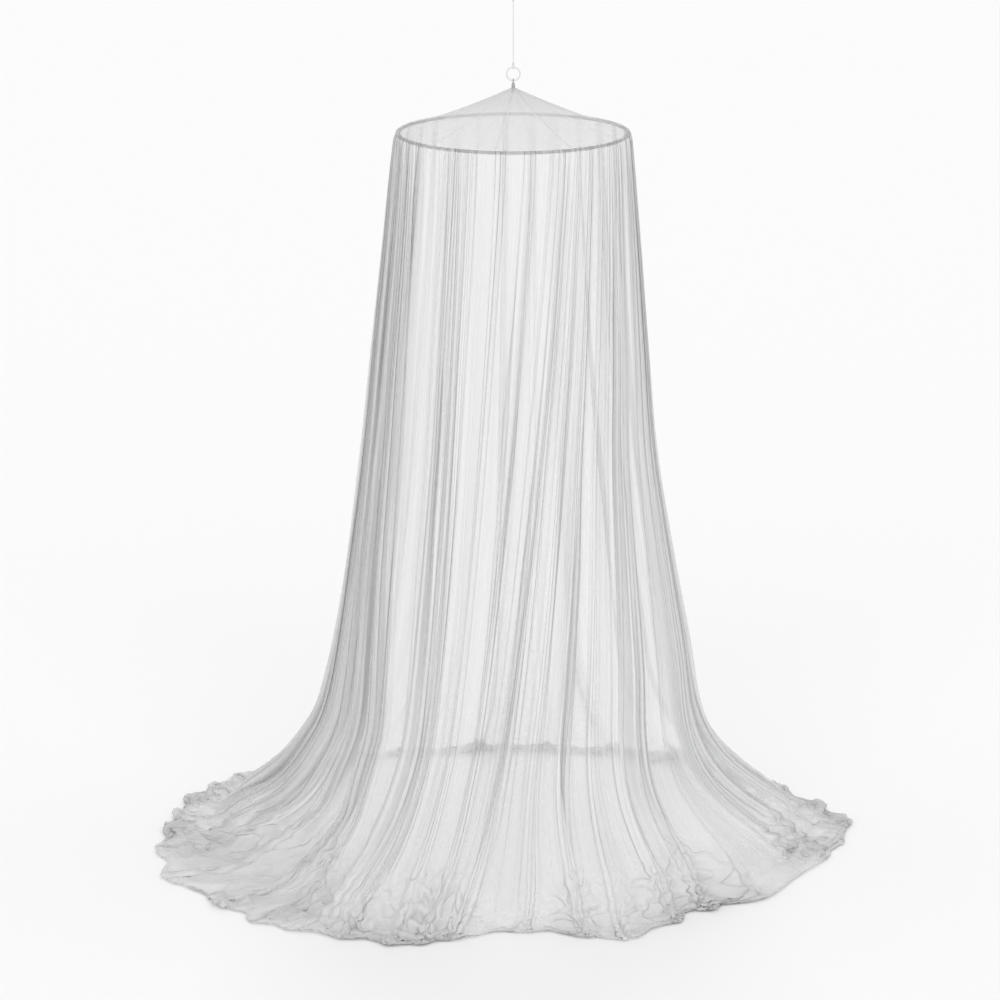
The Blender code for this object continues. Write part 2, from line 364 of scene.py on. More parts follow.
def makeNetMaterial(name, colour):
    spec = netFinish
    material, shader, start = newMaterial(name, colour, spec["roughness"])
    cloth = start.node("ShaderNodeUVMap", {"uv_map": "cloth"})
    density, bundle, lying = (
        start.node("ShaderNodeAttribute", {"attribute_name": key}, output="Fac")
        for key in ("gather", "bundle", "lying")
    )
    across = start.node("ShaderNodeSeparateXYZ", None, {0: cloth})
    along = across.beside(1)
    # fine lengthwise crinkles, where threads lie closer together
    stretched = {0: across * (1 / spec["crinklePitch"]), 1: along * (1 / spec["crinkleLength"])}
    crinklePlace = start.node("ShaderNodeCombineXYZ", None, stretched)
    crinkle = start.node(
        "ShaderNodeTexNoise",
        {"noise_dimensions": "2D"},
        {"Vector": crinklePlace, "Scale": 1.0, "Detail": spec["crinkleDetail"]},
    )
    crumple = start.node(
        "ShaderNodeTexNoise",
        {"noise_dimensions": "2D"},
        {
            "Vector": cloth,
            "Scale": 1 / spec["crumplePitch"],
            "Detail": spec["crumpleDetail"],
            "Distortion": spec["crumpleSwirl"],
        },
    )
    hanging = spec["plainCrinkle"] + bundle * (1 - spec["plainCrinkle"])
    depth = hanging + lying * (spec["poolCrinkle"] - hanging)
    upright = creased(crinkle, spec["crinkleDepth"], spec["creaseDepth"])
    flat = creased(crumple, spec["crumpleDepth"], spec["crumpleCrease"])
    uneven = depth * (upright + lying * (flat - upright))
    alpha = 1 - (1 - spec["cover"]) ** (density * (1 + uneven))
    link(alpha.clamped(spec["leastCover"], spec["mostCover"]), shader, "Alpha")
    # painted shade: the base colour darkens where many layers crowd and where net lies bunched on the
    # floor
    paintedShade = (density - spec["paintedShadeFrom"]) * spec["paintedShadeRate"]
    paintedShade = (paintedShade + lying * spec["lyingPaintedShade"]).clamped()
    link(mixedTone(paintedShade, colour, spec["paintedShadeColour"]), shader, "Base Color")
    relief = {"Strength": 1.0, "Distance": spec["bumpHeight"], "Height": uneven}
    link(start.node("ShaderNodeBump", None, relief), shader, "Normal")
    material.surface_render_method = "DITHERED"
    return material


cordSpec = dict(
    diameter=0.0025,
    lineTop=-0.0303,
    lineFoot=-0.1850,
    planeNormal=(0.0, 1.0, 0.003),
    strands=3,
    twistPitch=0.011,
    sides=18,
    step=0.0009,
    topLoopLength=0.024,
    topLoopWidth=0.013,
    loopFootShare=0.75,
    loopPoints=72,
    hitchPoints=60,
    hitchGap=0.0006,  # between the ring's wire and the cord or net that goes round it
    strandGroove=0.24,
    knotRadius=0.0032,
    knotLength=0.0085,
    knotGroove=0.20,
)
ringSpec = dict(radius=0.0168, wire=0.0044, around=96, sides=20)
hoopSpec = dict(radius=0.2915, wire=0.0084, around=240, sides=16)


def twistedTube(points, closed=False):
    # a cord of twisted strands along points that lie in the XZ plane
    ahead = np.roll(points, -1, 0) - np.roll(points, 1, 0) if closed else np.gradient(points, axis=0)
    tangent = unit(ahead)
    side = unit(np.cross(tangent, cordSpec["planeNormal"]))
    up = np.cross(side, tangent)
    steps = np.linalg.norm(np.diff(points, axis=0), axis=1)
    length = np.concatenate([[0], np.cumsum(steps)])
    total = length[-1] + (np.linalg.norm(points[-1] - points[0]) if closed else 0)
    turns = total / cordSpec["twistPitch"]
    if closed:
        turns = round(turns * cordSpec["strands"]) / cordSpec["strands"]
    twist = 2 * math.pi * turns * length / total
    angle = np.linspace(0, 2 * math.pi, cordSpec["sides"], endpoint=False)
    lobes = np.abs(np.cos(cordSpec["strands"] / 2 * (angle[None, :] - twist[:, None])))
    groove = cordSpec["strandGroove"]
    radius = cordSpec["diameter"] / 2 * (1 - groove + groove * np.sqrt(lobes))
    cosine, sine = np.cos(angle)[None, :, None], np.sin(angle)[None, :, None]
    ring = cosine * side[:, None, :] + sine * up[:, None, :]
    return points[:, None, :] + radius[..., None] * ring


def sidewaysTube(points):
    # the same cord round a loop that lies in the YZ plane
    swapped = points[:, [1, 0, 2]]
    return twistedTube(swapped, closed=True)[:, :, [1, 0, 2]]


def cappedMesh(name, rings, closed=False):
    # a tube of rings with flat ends, or joined end to end
    if closed:
        rings = np.concatenate([rings, rings[:1]])
    mesh = gridMesh(name, rings)
    edit = bmesh.new()
    edit.from_mesh(mesh)
    bmesh.ops.remove_doubles(edit, verts=edit.verts, dist=1e-6)
    if not closed:
        bmesh.ops.holes_fill(edit, edges=[e for e in edit.edges if e.is_boundary])
    bmesh.ops.recalc_face_normals(edit, faces=edit.faces)
    edit.to_mesh(mesh)
    edit.free()
    mesh.shade_smooth()
    return mesh


def knotRings(top, turns=2.5, sides=20, rows=26, ends=0.45):
    # a small overhand knot: a bulged barrel with slanting turns of the cord wrapped round it; ends is
    # how wide it is there, as a share of its middle
    down = np.linspace(0, 1, rows)
    angle = np.linspace(0, 2 * math.pi, sides, endpoint=False)
    barrel = ends + (1 - ends) * np.sin(math.pi * np.clip(down, 0.02, 0.98)) ** 0.6
    groove = np.abs(np.sin(math.pi * turns * down[:, None] + angle[None, :] / 2)) ** 0.5
    deep = cordSpec["knotGroove"]
    radius = cordSpec["knotRadius"] * barrel[:, None] * (1 - deep + deep * groove)
    height = top - cordSpec["knotLength"] * down[:, None] + 0 * angle[None, :]
    return np.stack([radius * np.sin(angle), -radius * np.cos(angle), height], -1)


def joinedMesh(name, meshes):
    edit = bmesh.new()
    for mesh in meshes:
        edit.from_mesh(mesh)
    whole = bpy.data.meshes.new(name)
    edit.to_mesh(whole)
    edit.free()
    whole.shade_smooth()
    return whole


def wireLoop(radius, height, count):
    # a circle round the ring's wire, in the YZ plane
    turn = np.linspace(0, 2 * math.pi, count, endpoint=False)
    return np.stack([0 * turn, radius * np.sin(turn), height + radius * np.cos(turn)], -1)


def makeCord(material):
    spec = cordSpec
    half = spec["diameter"] / 2
    count = round((spec["lineTop"] - spec["lineFoot"]) / spec["step"]) + 1
    path = np.zeros((count, 3))
    path[:, 2] = np.linspace(spec["lineTop"], spec["lineFoot"], count)
    line = addPiece("cord_line", cappedMesh("cord_line", twistedTube(path)), material)
    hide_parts("hang_line")

    angles = np.linspace(0, 2 * math.pi, spec["loopPoints"], endpoint=False)
    share = (1 + np.cos(angles)) / 2
    width = spec["topLoopWidth"] / 2 * np.sin(angles) * mix(spec["loopFootShare"], 1.0, share)
    height = mix(-spec["topLoopLength"], 0.0, share) + half
    loopPath = np.stack([width, 0 * width, height], -1)
    knotTop = 2 * half - spec["topLoopLength"]
    loop = cappedMesh("loop", twistedTube(loopPath, closed=True), closed=True)
    knot = cappedMesh("knot", knotRings(knotTop))
    topLoop = addPiece("cord_top_loop", joinedMesh("cord_top_loop", [loop, knot]), material)
    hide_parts("hang_loop")

    ringTop = ringZ + ringSpec["radius"]
    hitchRadius = ringSpec["wire"] / 2 + spec["hitchGap"] + half
    knotTop = ringTop + hitchRadius + spec["knotLength"] - half / 2
    hitchPath = wireLoop(hitchRadius, ringTop, spec["hitchPoints"])
    loop = cappedMesh("hitchLoop", sidewaysTube(hitchPath), closed=True)
    knot = cappedMesh("hitchKnot", knotRings(knotTop))
    hitch = addPiece("cord_ring_hitch", joinedMesh("cord_ring_hitch", [loop, knot]), material)
    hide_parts("ring_hitch")
    print("cord made")


def torusPoints(spec):
    turn = np.linspace(0, 2 * math.pi, spec["around"], endpoint=False)[:, None]
    side = np.linspace(0, 2 * math.pi, spec["sides"], endpoint=False)[None, :]
    away = spec["radius"] + spec["wire"] / 2 * np.cos(side)
    height = spec["wire"] / 2 * np.sin(side) + 0 * turn
    return np.stack([away * np.sin(turn), -away * np.cos(turn), height], -1)


def makeRing(material):
    points = torusPoints(ringSpec)
    upright = np.stack([points[..., 0], points[..., 2], points[..., 1] + ringZ], -1)
    ring = addPiece("hanging_ring", cappedMesh("hanging_ring", upright, closed=True), material)
    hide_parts("hang_ring")
    print("ring made")


def makeHoop(material):
    points = torusPoints(hoopSpec) + np.array([0, 0, hoopZ])
    hoop = addPiece("hoop_wire", cappedMesh("hoop_wire", points, closed=True), material)
    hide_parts("hoop")
    print("hoop made")


wall = dict(
    flatWidth=8.5,  # round the hem, as such nets are sold
    flatLength=2.5,
    leastAreaShare=0.3,
    areaMargin=1.02,
    sleeveRadius=0.0050,
    sleeveAngles=(215, 190, 165, 140, 115, 90, 65, 40, 15),
    sleeveGive=0.25,  # share of the pleats' depth that is left where the net turns over the hoop
    sleeveLimits=(-0.0006, 0.0012),
    notch=0.030,  # how far the rim falls back between two folds
    meanReach=0.880,
    slant=0.12,  # how much one flank of a fold is steeper than the other
    columns=680,
    fineRows=1200,
    evenShare=0.45,  # share of the columns that are spread evenly, the rest go where the pleats are
    upperStep=0.040,
    poolStep=0.0064,
    poolFrom=(0.15, 0.52),  # heights above the floor between which the rows grow closer
    floorGap=0.0006,
    settledGap=0.0004,
    bunchHeights=(0.20, 0.08),  # heights above the floor where bunches begin and are whole
    hemRows=3,
    hemDensity=1.25,
    upperFullness=0.34,  # how much closer the net lies with each metre up, above the lower part
    lowerPart=0.2,
    leastFacing=0.2,
    mostGather=3.2,
)

wallRows = (
    # height above the floor, radius, inset at the right, and the shares of depth, drift to the foot,
    # drift to the rim, reach, lift and tuck that the row takes
    (1.868, 0.2985, 0.000, 0.10, 0.00, 0.00, 0.00, 0.00, 0.00),
    (1.800, 0.3020, 0.000, 0.22, 0.03, 0.00, 0.00, 0.00, 0.00),
    (1.600, 0.3170, 0.002, 0.36, 0.16, 0.00, 0.00, 0.00, 0.00),
    (1.350, 0.3400, 0.010, 0.50, 0.32, 0.00, 0.00, 0.00, 0.00),
    (1.080, 0.3640, 0.016, 0.64, 0.49, 0.00, 0.00, 0.00, 0.00),
    (0.820, 0.3960, 0.010, 0.78, 0.65, 0.00, 0.00, 0.00, 0.05),
    (0.580, 0.4320, 0.004, 0.92, 0.80, 0.00, 0.00, 0.00, 0.20),
    (0.400, 0.4700, 0.014, 1.00, 0.91, 0.02, 0.05, 0.00, 0.40),
    (0.270, 0.5350, 0.026, 1.00, 0.98, 0.10, 0.15, 0.00, 0.60),
    (0.160, 0.6250, 0.010, 0.80, 1.00, 0.35, 0.30, 0.10, 1.00),
    (0.088, 0.7150, 0.000, 0.55, 1.00, 0.65, 0.50, 0.35, 1.15),
    (0.042, 0.7950, 0.000, 0.30, 1.00, 0.90, 0.75, 0.75, 0.90),
    (0.030, 0.8450, 0.000, 0.20, 1.00, 0.98, 0.95, 1.00, 0.30),
    (0.012, 0.8800, 0.000, 0.15, 1.00, 1.00, 1.00, 0.35, 0.00),
    (0.001, 0.8620, 0.000, 0.10, 1.00, 1.00, 0.95, 0.00, 0.00),
)

# Folds from the back by way of the left side: the azimuth where the crest leaves the hoop, where it
# comes to the foot of the wall and where it ends in the rim; its depth, reach and lift there; the fine
# pleats that ride on it (how many, how far each one swings in degrees, and how far towards the next
# crest they spread); how strongly the net buckles as it heaps up on the floor; and how far the foot is
# tucked in.
foldNames = (
    "hoop", "foot", "rim", "depth", "reach", "lift", "pleats", "swing", "spread", "heap", "tuck"
)
folds = (
    (-176, -175, -174, 0.016, 0.965, 0.060, 1.2, 75, 0.12, 1.2, 0.00),
    (-163, -161, -161, 0.010, 0.970, 0.045, 1.0, 60, 0.14, 1.0, 0.00),
    (-151, -149, -152, 0.014, 1.000, 0.045, 1.2, 60, 0.20, 1.0, 0.00),
    (-139, -137, -144, 0.020, 1.020, 0.050, 2.0, 65, 0.24, 1.1, 0.00),
    (-128, -124, -137, 0.024, 1.020, 0.050, 2.5, 75, 0.28, 1.1, 0.00),
    (-118, -112, -131, 0.026, 1.020, 0.050, 3.0, 85, 0.34, 1.1, 0.00),
    (-108, -101, -124, 0.028, 1.010, 0.050, 3.5, 90, 0.36, 1.1, 0.01),
    (-98, -91, -116, 0.030, 0.985, 0.050, 3.5, 95, 0.36, 1.1, 0.02),
    (-90, -82, -108, 0.030, 0.955, 0.050, 3.5, 95, 0.36, 1.1, 0.03),
    (-82, -75, -99, 0.030, 0.940, 0.045, 3.5, 95, 0.36, 1.1, 0.04),
    (-75, -69, -88, 0.030, 0.945, 0.045, 3.8, 98, 0.36, 1.1, 0.07),
    (-68, -63, -73, 0.028, 0.955, 0.040, 4.0, 100, 0.36, 1.0, 0.11),
    (-60, -56, -56, 0.026, 0.925, 0.035, 4.0, 98, 0.34, 0.9, 0.13),
    (-51, -49, -46, 0.016, 0.930, 0.035, 3.6, 100, 0.30, 1.0, 0.10),
    (-30, -33, -38, 0.020, 0.915, 0.030, 3.0, 105, 0.32, 1.0, 0.04),
    (-21, -26, -29, 0.022, 0.905, 0.035, 3.5, 105, 0.30, 1.0, 0.00),
    (-6, -20, -21, 0.010, 0.900, 0.040, 2.2, 90, 0.20, 1.2, 0.00),
    (8, -13, -16, 0.010, 0.870, 0.035, 2.2, 90, 0.22, 1.0, 0.00),
    (24, -5, -11, 0.026, 0.820, 0.030, 4.0, 105, 0.34, 0.9, 0.00),
    (33, 5, 3, 0.012, 0.735, 0.020, 2.6, 100, 0.26, 0.7, 0.00),
    (40, 13, 13, 0.016, 0.800, 0.025, 3.0, 95, 0.32, 0.8, 0.00),
    (47, 22, 20, 0.010, 0.855, 0.030, 2.0, 95, 0.20, 1.0, 0.00),
    (55, 32, 33, 0.026, 0.770, 0.035, 3.5, 95, 0.30, 1.0, 0.00),
    (63, 42, 43, 0.018, 0.735, 0.040, 3.2, 95, 0.30, 1.1, 0.00),
    (71, 53, 55, 0.010, 0.800, 0.035, 1.4, 75, 0.18, 1.0, 0.00),
    (79, 67, 82, 0.026, 0.815, 0.025, 5.0, 110, 0.24, 1.0, 0.02),
    (88, 79, 93, 0.020, 0.880, 0.030, 4.0, 100, 0.28, 1.1, 0.02),
    (98, 92, 103, 0.020, 0.925, 0.035, 3.6, 98, 0.28, 1.2, 0.01),
    (109, 105, 114, 0.020, 0.915, 0.035, 3.5, 95, 0.28, 1.2, 0.00),
    (121, 118, 126, 0.020, 0.920, 0.040, 2.5, 85, 0.24, 1.2, 0.00),
    (133, 131, 138, 0.018, 0.960, 0.040, 1.8, 75, 0.20, 1.2, 0.00),
    (146, 145, 150, 0.010, 0.990, 0.045, 1.0, 60, 0.18, 1.1, 0.00),
    (159, 159, 162, 0.010, 0.985, 0.045, 1.0, 70, 0.16, 1.0, 0.00),
    (171, 172, 174, 0.010, 0.970, 0.045, 1.0, 60, 0.14, 1.0, 0.00),
)


def acrossFolds(name, fold, turn=0.0):
    # the named column of the table, smoothly, at each fold coordinate
    number = foldNames.index(name)
    return roundTable(fold, [row[number] for row in folds], turn)


def nearCrest(fold):
    # 1 on a crest, less the further the way to the next one, by the fold's spread
    away = np.abs(fold - np.round(fold))
    return np.exp(-((away / acrossFolds("spread", fold)) ** 2))


pleatStyle = dict(
    fineSteps=40,
    fewest=0.4,
    evenShare=0.25,  # share of the pleats that are spread evenly
    widest=0.05,
    growth=((0.0, 0.12, 0.5, 1.5), (0.75, 0.95, 1.0, 1.0)),  # metres below the hoop, share of the swing
    betweenCrests=0.12,  # share of the swing half-way between crests that stand far apart
    swingLimits=(0.05, 1.95),
    rimFullness=(0.55, 1.0),  # share of the swing left in the rim, where least and most buckled
    buckled=(1.0, 1.8),  # least and most, by the heap column of the folds
    rimFrom=(1.6, 2.1),  # metres below the hoop
    bundleSwing=(30, 90),  # degrees of swing where the crinkles of bundled net begin and are whole
)


def columnFolds():
    # the fold coordinate and the running number of pleats at each column
    fine = np.linspace(0, len(folds), pleatStyle["fineSteps"] * len(folds) + 1)
    spread = acrossFolds("spread", fine) * math.sqrt(math.pi)
    bunched = nearCrest(fine) / spread
    most = np.maximum(acrossFolds("pleats", fine), pleatStyle["fewest"])
    rate = most * mix(bunched, 1.0, pleatStyle["evenShare"])
    count = np.concatenate([[0], np.cumsum((rate[1:] + rate[:-1]) / 2 * np.diff(fine))])
    pleats = round(count[-1])
    count *= pleats / count[-1]
    filled = mix(count / pleats, fine / len(folds), wall["evenShare"])
    fold = np.interp(np.arange(wall["columns"]) / wall["columns"], filled, fine)
    return fold, np.interp(fold, fine, count), pleats


def wallSurface(fold, row, folded):
    # a point of the net's main shape: fold is the fold coordinate, row the row of the table, and
    # folded says how much of the folds shows
    places = np.arange(len(wallRows))
    height, radius, inset, depthShare, footDrift, rimDrift, reachShare, liftShare, tuckShare = (
        smoothTable(row, places, column) for column in zip(*wallRows)
    )
    across = fold - np.floor(fold)
    valley = np.sin(math.pi * across) ** 2
    proud = np.cos(2 * math.pi * across) + wall["slant"] * np.sin(2 * math.pi * across)
    atHoop, atFoot, atRim = (acrossFolds(name, fold, 360) for name in ("hoop", "foot", "rim"))
    depth = acrossFolds("depth", fold) * proud * folded
    reach = acrossFolds("reach", fold) - wall["notch"] * valley * folded
    lift = acrossFolds("lift", fold) * (1 - valley * folded)
    azimuth = np.radians(atHoop + (atFoot - atHoop) * footDrift + (atRim - atFoot) * rimDrift)
    away = radius + depth * depthShare + (reach - wall["meanReach"]) * reachShare
    away = away - inset * np.maximum(np.sin(azimuth), 0) - acrossFolds("tuck", fold) * tuckShare
    z = floorZ + height + lift * liftShare
    return np.stack([away * np.sin(azimuth), -away * np.cos(azimuth), z], -1)


def rowPlaces():
    # row coordinates from the hoop down to the hem, close together in the pool
    fine = np.linspace(0, len(wallRows) - 1, wall["fineRows"])
    line = wallSurface(np.zeros(1), fine[:, None], 0.0)[:, 0]
    step = np.linalg.norm(np.diff(line, axis=0), axis=1)
    height = line[:, 2] - floorZ
    spacing = mix(wall["poolStep"], wall["upperStep"], smoothStep(*wall["poolFrom"], height))
    rate = np.concatenate([[0], np.cumsum(step / spacing[1:])])
    count = round(rate[-1])
    return np.interp(np.arange(count + 1) * rate[-1] / count, rate, fine)


# where the net on the floor is bunched together: the azimuth and distance from the middle, how far the
# bunch spreads along the rim and across it, and how much more net it holds (or less)
bunches = (
    # azimuth, distance, along, across, extra
    (-174, 0.91, 0.06, 0.050, 2.5),
    (-160, 0.90, 0.20, 0.035, 1.4),
    (-143, 0.90, 0.12, 0.060, 1.6),
    (-128, 0.93, 0.12, 0.050, 0.8),
    (-116, 0.95, 0.10, 0.040, 1.5),
    (-100, 0.91, 0.10, 0.050, 1.8),
    (-92, 0.70, 0.13, 0.050, -0.80),
    (-88, 0.81, 0.11, 0.070, 3.8),
    (-80, 0.69, 0.07, 0.100, 3.5),
    (-66, 0.62, 0.06, 0.100, 2.5),
    (-64, 0.84, 0.16, 0.080, 1.6),
    (-52, 0.60, 0.05, 0.060, 2.2),
    (-46, 0.76, 0.08, 0.100, 2.8),
    (-30, 0.82, 0.08, 0.050, 1.5),
    (-22, 0.79, 0.11, 0.070, 3.2),
    (-20, 0.64, 0.06, 0.100, 1.2),
    (-14, 0.74, 0.06, 0.050, 2.0),
    (-12, 0.62, 0.05, 0.100, 0.8),
    (1, 0.70, 0.10, 0.025, 1.2),
    (13, 0.70, 0.06, 0.080, 2.0),
    (22, 0.77, 0.06, 0.040, 1.0),
    (32, 0.70, 0.08, 0.060, 2.8),
    (44, 0.65, 0.06, 0.090, 3.5),
    (53, 0.71, 0.07, 0.050, 4.0),
    (75, 0.75, 0.10, 0.040, 0.8),
    (79, 0.62, 0.03, 0.060, 2.5),
    (86, 0.71, 0.05, 0.050, 1.4),
    (91, 0.78, 0.08, 0.060, 2.2),
    (103, 0.88, 0.10, 0.040, 2.2),
    (118, 0.72, 0.06, 0.040, 1.5),
    (118, 0.90, 0.10, 0.050, 1.8),
    (130, 0.74, 0.10, 0.050, 2.2),
    (132, 0.92, 0.10, 0.050, 1.5),
    (143, 0.78, 0.08, 0.060, 2.0),
    (150, 0.90, 0.12, 0.060, 1.4),
    (168, 0.90, 0.26, 0.035, 1.4),
)


def bunching(points):
    # how much more net lies bunched at each point of the floor
    azimuth = np.arctan2(points[..., 0], -points[..., 1])
    away = np.hypot(points[..., 0], points[..., 1])
    total = 0.0
    for bearing, distance, along, across, extra in bunches:
        turned = (azimuth - math.radians(bearing) + math.pi) % (2 * math.pi) - math.pi
        aside = (turned * distance / along) ** 2
        total = total + extra * np.exp(-aside - ((away - distance) / across) ** 2)
    return total


heap = dict(
    calm=0.40,  # how strongly the net buckles away from the bunches, as a share
    heights=(0.16, 0.05),  # heights above the floor where it begins to buckle and where it fully does
    foldLength=0.056,
    lift=0.30,
    mostSwing=1.8,
)


def heapShift(smooth, turns, fold):
    # folds that run round the net where it heaps up on the floor
    steps = np.linalg.norm(np.diff(smooth, axis=0), axis=2).mean(1)
    line = np.concatenate([[0], np.cumsum(steps)])[:, None]
    onFloor = smoothStep(*heap["heights"], smooth[..., 2] - floorZ)
    strength = mix(heap["calm"], 1.0, np.clip(bunching(smooth), 0, 1))
    swing = acrossFolds("heap", fold) * onFloor * strength
    swing = swing * (1 + softNoise("heapSwing", turns, line))
    swing = np.clip(swing, 0.0, heap["mostSwing"])
    phase = 2 * math.pi * line / heap["foldLength"] + softNoise("heapPhase", turns, line)
    alongShift, acrossShift = meander(phase, swing)
    outward = -gridNormals(smooth)
    down = unit(np.gradient(smooth, axis=0))
    size = heap["foldLength"] * (1 + softNoise("heapSize", turns, line))
    rise = (acrossShift + heap["lift"] * onFloor * swing) * size
    return down * (alongShift * size)[..., None] + outward * rise[..., None]


settle = dict(
    topHeight=0.32,  # the net above this keeps its shape
    lowHeight=0.04,
    frames=24,
    spareFrames=5,
    holdHigh=0.90,  # how firmly the shape given to it is kept at these two heights
    holdLow=0.09,
    holdStiffness=2.0,
    heldRows=4,
    weight=0.3,
    quality=4,
    airDamping=2.0,
    tension=15,
    compression=6,
    shear=3,
    bending=0.05,
    bendingDamping=0.5,
    netSkin=0.0015,
    collisionSteps=2,
    slabSize=(4, 4, 0.5),
    slabSkin=0.002,
    slabFriction=15,
    slabDamping=0.5,
    mostMove=0.12,  # no point of the net falls or slides further than this
    # how often and how far the zigzags are eased afterwards, sideways and lengthwise
    calmEasing=(6, 0.0, 0.4),
    bunchedEasing=(1, 0.15, 0.25),
)


def eased(points, times, sideways, lengthwise):
    # takes the sharpest zigzags out of a closed grid of points
    for _ in range(times):
        around = (np.roll(points, 1, 1) + np.roll(points, -1, 1)) / 2
        along = points.copy()
        along[1:-1] = (points[:-2] + points[2:]) / 2
        points = points * (1 - sideways - lengthwise) + around * sideways + along * lengthwise
    return points


def addSlab():
    # the floor that the net falls on
    slab = bpy.data.objects.new("slab", bpy.data.meshes.new("slab"))
    edit = bmesh.new()
    bmesh.ops.create_cube(edit, size=1)
    bmesh.ops.scale(edit, vec=settle["slabSize"], verts=edit.verts)
    bmesh.ops.translate(edit, vec=(0, 0, floorZ - settle["slabSize"][2] / 2), verts=edit.verts)
    edit.to_mesh(slab.data)
    edit.free()
    bpy.context.scene.collection.objects.link(slab)
    slab.modifiers.new("ground", "COLLISION")
    slab.collision.thickness_outer = settle["slabSkin"]
    slab.collision.cloth_friction = settle["slabFriction"]
    slab.collision.damping = settle["slabDamping"]
    return slab


def addFall(skirt):
    # the net's fall, held in part to the shape given to it by the group hold
    cloth = skirt.modifiers.new("fall", "CLOTH")
    net = cloth.settings
    net.quality = settle["quality"]
    net.mass = settle["weight"]
    net.air_damping = settle["airDamping"]
    net.tension_stiffness = settle["tension"]
    net.compression_stiffness = settle["compression"]
    net.shear_stiffness = settle["shear"]
    net.bending_stiffness = settle["bending"]
    net.bending_damping = settle["bendingDamping"]
    net.vertex_group_mass = "hold"
    net.pin_stiffness = settle["holdStiffness"]
    cloth.collision_settings.distance_min = settle["netSkin"]
    cloth.collision_settings.collision_quality = settle["collisionSteps"]
    cloth.collision_settings.use_self_collision = False
    cloth.point_cache.frame_start = 1
    cloth.point_cache.frame_end = settle["frames"] + settle["spareFrames"]


def settlePool(points, main):
    # lets the net near the floor fall and crumple under its own weight
    height = main[..., 2].mean(1) - floorZ
    first = int(np.argmax(height < settle["topHeight"]))
    skirt = bpy.data.objects.new("settling", gridMesh("settling", points[first:]))
    bpy.context.scene.collection.objects.link(skirt)
    hold = skirt.vertex_groups.new(name="hold")
    columns = points.shape[1]
    for number, level in enumerate(height[first:]):
        share = smoothStep(settle["lowHeight"], settle["topHeight"], level)
        share = mix(settle["holdLow"], settle["holdHigh"], share)
        if number < settle["heldRows"]:
            share = 1.0
        hold.add(list(range(number * columns, (number + 1) * columns)), float(share), "REPLACE")
    slab = addSlab()
    addFall(skirt)
    scene = bpy.context.scene
    for number in range(1, settle["frames"] + 1):
        scene.frame_set(number)
    settled = skirt.evaluated_get(bpy.context.evaluated_depsgraph_get()).to_mesh()
    flat = np.zeros(len(settled.vertices) * 3, np.float32)
    settled.vertices.foreach_get("co", flat)
    result = points.copy()
    fallen = flat.reshape(result[first:].shape)
    bunched = np.clip(bunching(main[first:]), 0, 1)[..., None]
    fallen = mix(eased(fallen, *settle["calmEasing"]), eased(fallen, *settle["bunchedEasing"]), bunched)
    moved = fallen - points[first:]
    distance = np.linalg.norm(moved, axis=2, keepdims=True)
    result[first:] += moved * np.minimum(settle["mostMove"] / np.maximum(distance, 1e-9), 1.0)
    bpy.data.objects.remove(skirt)
    bpy.data.objects.remove(slab)
    scene.frame_set(1)
    print("pool settled, largest move", round(float(distance.max()), 3))
    return result


def meshArea(points):
    right = np.roll(points, -1, 1)
    first = np.cross(right[:-1] - points[:-1], points[1:] - points[:-1])
    second = np.cross(right[1:] - right[:-1], points[1:] - right[:-1])
    return float((np.linalg.norm(first, axis=2) + np.linalg.norm(second, axis=2)).sum() / 2)


def clothDensity(points, smooth):
    # how much net lies over each bit of the smooth shape: 1 where it lies flat, more on steep flanks
    facing = np.abs((gridNormals(points) * gridNormals(smooth)).sum(-1))
    return np.minimum(1 / np.maximum(facing, wall["leastFacing"]), wall["mostGather"])


def pleatShift(main, fold, along, turns, pleat, pleats):
    # the fine pleats that ride on the folds: they start flat on the hoop, open out below it and wander
    # a little on their way down. Returns the shift round the net and the shift outwards.
    around = np.roll(main, -1, 1) - np.roll(main, 1, 1)
    pleatStep = (np.roll(pleat, -1, 1) - np.roll(pleat, 1, 1)) % pleats
    pleatWidth = np.linalg.norm(around, axis=2) / pleatStep
    grow = smoothTable(along, *pleatStyle["growth"])
    full = smoothStep(*pleatStyle["buckled"], acrossFolds("heap", fold))
    full = mix(*pleatStyle["rimFullness"], full)
    grow = grow * mix(1.0, full, smoothStep(*pleatStyle["rimFrom"], along))
    swing = np.radians(acrossFolds("swing", fold)) * grow
    swing = swing * mix(pleatStyle["betweenCrests"], 1.0, nearCrest(fold))
    swing = swing * (1 + softNoise("pleatSwing", turns, along))
    swing = np.clip(swing, *pleatStyle["swingLimits"])
    phase = 2 * math.pi * pleat + softNoise("pleatPhase", turns, along)
    lean = softNoise("pleatLean", turns, along)
    alongShift, acrossShift = meander(phase, swing)
    width = np.minimum(pleatWidth, pleatStyle["widest"])[..., None]
    aside = unit(around) * width * (alongShift + lean * acrossShift)[..., None]
    return aside, gridNormals(main) * width * acrossShift[..., None]


def sleeveRows(top):
    # the net's top edge, turned over the hoop; top is the row of points below it
    rows = []
    for degrees in wall["sleeveAngles"]:
        angle = math.radians(degrees)
        ring = top.copy()
        away = hoopSpec["radius"] + wall["sleeveRadius"] * math.cos(angle)
        extra = (np.linalg.norm(ring[:, :2], axis=1) - wallRows[0][1]) * wall["sleeveGive"]
        ring[:, :2] = unit(ring[:, :2]) * (away + np.clip(extra, *wall["sleeveLimits"]))[:, None]
        ring[:, 2] = hoopZ + wall["sleeveRadius"] * math.sin(angle)
        rows.append(ring)
    return np.array(rows)


